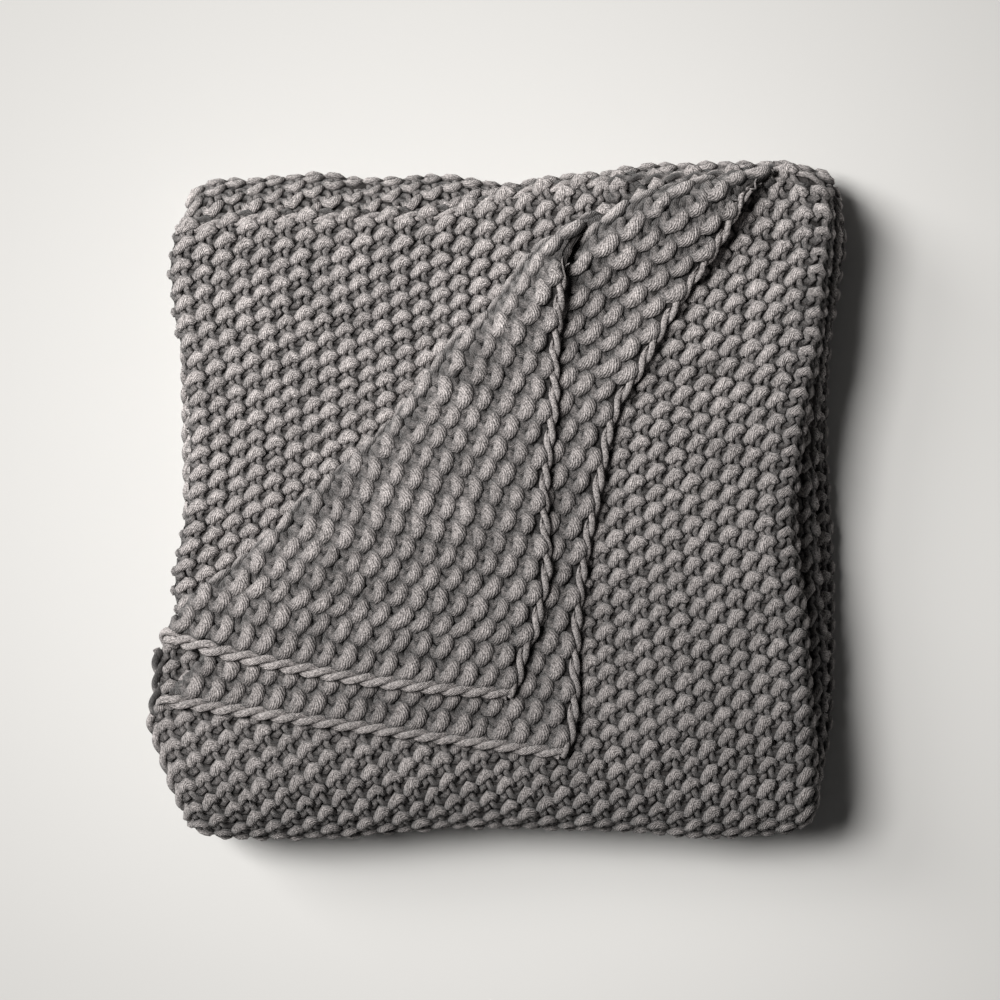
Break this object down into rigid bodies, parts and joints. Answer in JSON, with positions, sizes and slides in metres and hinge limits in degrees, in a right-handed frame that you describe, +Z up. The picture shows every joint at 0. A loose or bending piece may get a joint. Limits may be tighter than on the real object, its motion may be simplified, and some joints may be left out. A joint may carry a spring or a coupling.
{
  "type": "folded chunky knit blanket",
  "caption": "Grey chunky seed-stitch knit blanket folded into a square pack, with the upper left corners of its two top plies turned back to the lower right.",
  "frame": {"origin": "The middle of the pack's underside, at the height of the surface it lies on.", "axes": "+Z is up out of the surface, +Y runs towards the edge of the pack that is at the top of the picture, +X runs towards the wide folds on the right."},
  "size_m": [0.4722, 0.4652, 0.1135],
  "materials": {
    "knit": "matte"
  },
  "bodies": {
    "root": {"blanket": "knit"}
  },
  "joints": []
}
